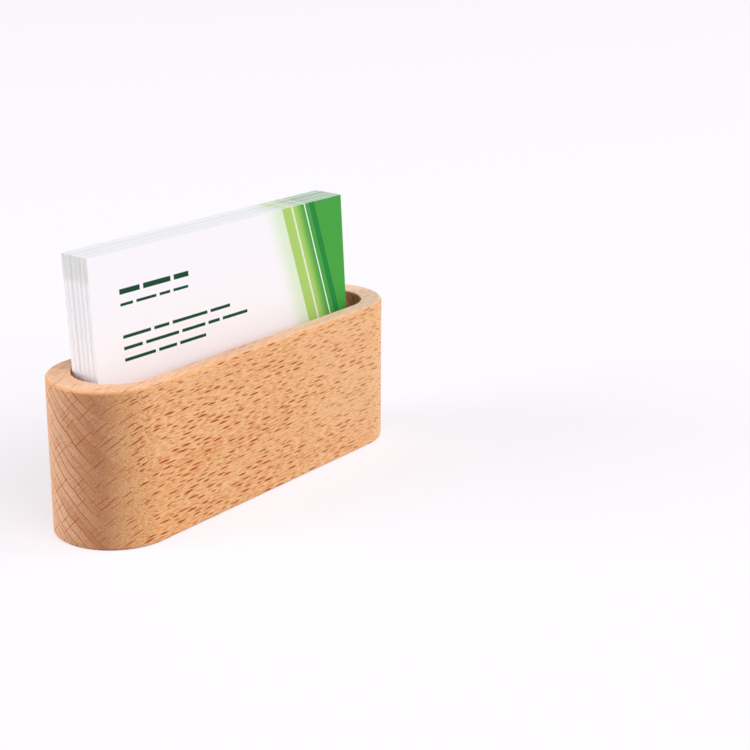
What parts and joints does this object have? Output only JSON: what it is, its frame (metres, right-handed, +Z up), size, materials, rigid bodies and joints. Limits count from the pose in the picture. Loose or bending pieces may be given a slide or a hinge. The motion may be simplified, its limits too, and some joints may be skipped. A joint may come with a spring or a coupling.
{
  "type": "business card holder",
  "caption": "Obround beech desk block with a milled pocket that holds a stack of loose business cards on edge, ready to be lifted out.",
  "frame": {"origin": "middle of the block's base, on the surface that it stands on", "axes": "+X along the block, -Y to the front that the cards face, +Z up out of the pocket"},
  "size_m": [0.112, 0.0304, 0.0673],
  "materials": {
    "beech": "satin",
    "card_stock": "matte"
  },
  "bodies": {
    "holder": {"holder_block": "beech"},
    "card_01": {"card_01": "card_stock"},
    "card_02": {"card_02": "card_stock"},
    "card_03": {"card_03": "card_stock"},
    "card_04": {"card_04": "card_stock"},
    "card_05": {"card_05": "card_stock"},
    "card_06": {"card_06": "card_stock"},
    "card_07": {"card_07": "card_stock"},
    "card_08": {"card_08": "card_stock"},
    "card_09": {"card_09": "card_stock"},
    "card_10": {"card_10": "card_stock"},
    "card_11": {"card_11": "card_stock"},
    "card_12": {"card_12": "card_stock"},
    "card_13": {"card_13": "card_stock"},
    "card_14": {"card_14": "card_stock"},
    "card_15": {"card_15": "card_stock"},
    "card_16": {"card_16": "card_stock"},
    "card_17": {"card_17": "card_stock"},
    "card_18": {"card_18": "card_stock"},
    "card_19": {"card_19": "card_stock"},
    "card_20": {"card_20": "card_stock"},
    "card_21": {"card_21": "card_stock"},
    "card_22": {"card_22": "card_stock"},
    "card_23": {"card_23": "card_stock"},
    "card_24": {"card_24": "card_stock"},
    "card_25": {"card_25": "card_stock"}
  },
  "joints": [
    {"name": "card_01_lift", "type": "slide", "parent": "holder", "child": "card_01", "axis": [0.0024, 0.061, 0.9981], "range_m": [0, 0.029]},
    {"name": "card_02_lift", "type": "slide", "parent": "holder", "child": "card_02", "axis": [0.0024, 0.061, 0.9981], "range_m": [0, 0.029]},
    {"name": "card_03_lift", "type": "slide", "parent": "holder", "child": "card_03", "axis": [0.0024, 0.061, 0.9981], "range_m": [0, 0.029]},
    {"name": "card_04_lift", "type": "slide", "parent": "holder", "child": "card_04", "axis": [0.0024, 0.061, 0.9981], "range_m": [0, 0.029]},
    {"name": "card_05_lift", "type": "slide", "parent": "holder", "child": "card_05", "axis": [0.0024, 0.061, 0.9981], "range_m": [0, 0.029]},
    {"name": "card_06_lift", "type": "slide", "parent": "holder", "child": "card_06", "axis": [0.0024, 0.061, 0.9981], "range_m": [0, 0.029]},
    {"name": "card_07_lift", "type": "slide", "parent": "holder", "child": "card_07", "axis": [0.0024, 0.061, 0.9981], "range_m": [0, 0.029]},
    {"name": "card_08_lift", "type": "slide", "parent": "holder", "child": "card_08", "axis": [0.0024, 0.061, 0.9981], "range_m": [0, 0.029]},
    {"name": "card_09_lift", "type": "slide", "parent": "holder", "child": "card_09", "axis": [0.0024, 0.061, 0.9981], "range_m": [0, 0.029]},
    {"name": "card_10_lift", "type": "slide", "parent": "holder", "child": "card_10", "axis": [0.0024, 0.061, 0.9981], "range_m": [0, 0.029]},
    {"name": "card_11_lift", "type": "slide", "parent": "holder", "child": "card_11", "axis": [0.0024, 0.061, 0.9981], "range_m": [0, 0.029]},
    {"name": "card_12_lift", "type": "slide", "parent": "holder", "child": "card_12", "axis": [0.0024, 0.061, 0.9981], "range_m": [0, 0.029]},
    {"name": "card_13_lift", "type": "slide", "parent": "holder", "child": "card_13", "axis": [0.0024, 0.061, 0.9981], "range_m": [0, 0.029]},
    {"name": "card_14_lift", "type": "slide", "parent": "holder", "child": "card_14", "axis": [0.0024, 0.061, 0.9981], "range_m": [0, 0.029]},
    {"name": "card_15_lift", "type": "slide", "parent": "holder", "child": "card_15", "axis": [0.0024, 0.061, 0.9981], "range_m": [0, 0.029]},
    {"name": "card_16_lift", "type": "slide", "parent": "holder", "child": "card_16", "axis": [0.0024, 0.061, 0.9981], "range_m": [0, 0.029]},
    {"name": "card_17_lift", "type": "slide", "parent": "holder", "child": "card_17", "axis": [0.0024, 0.061, 0.9981], "range_m": [0, 0.029]},
    {"name": "card_18_lift", "type": "slide", "parent": "holder", "child": "card_18", "axis": [0.0024, 0.061, 0.9981], "range_m": [0, 0.029]},
    {"name": "card_19_lift", "type": "slide", "parent": "holder", "child": "card_19", "axis": [0.0024, 0.061, 0.9981], "range_m": [0, 0.029]},
    {"name": "card_20_lift", "type": "slide", "parent": "holder", "child": "card_20", "axis": [0.0024, 0.061, 0.9981], "range_m": [0, 0.029]},
    {"name": "card_21_lift", "type": "slide", "parent": "holder", "child": "card_21", "axis": [0.0024, 0.061, 0.9981], "range_m": [0, 0.029]},
    {"name": "card_22_lift", "type": "slide", "parent": "holder", "child": "card_22", "axis": [0.0024, 0.061, 0.9981], "range_m": [0, 0.029]},
    {"name": "card_23_lift", "type": "slide", "parent": "holder", "child": "card_23", "axis": [0.0024, 0.061, 0.9981], "range_m": [0, 0.029]},
    {"name": "card_24_lift", "type": "slide", "parent": "holder", "child": "card_24", "axis": [0.0024, 0.061, 0.9981], "range_m": [0, 0.029]},
    {"name": "card_25_lift", "type": "slide", "parent": "holder", "child": "card_25", "axis": [0.0024, 0.061, 0.9981], "range_m": [0, 0.029]}
  ]
}
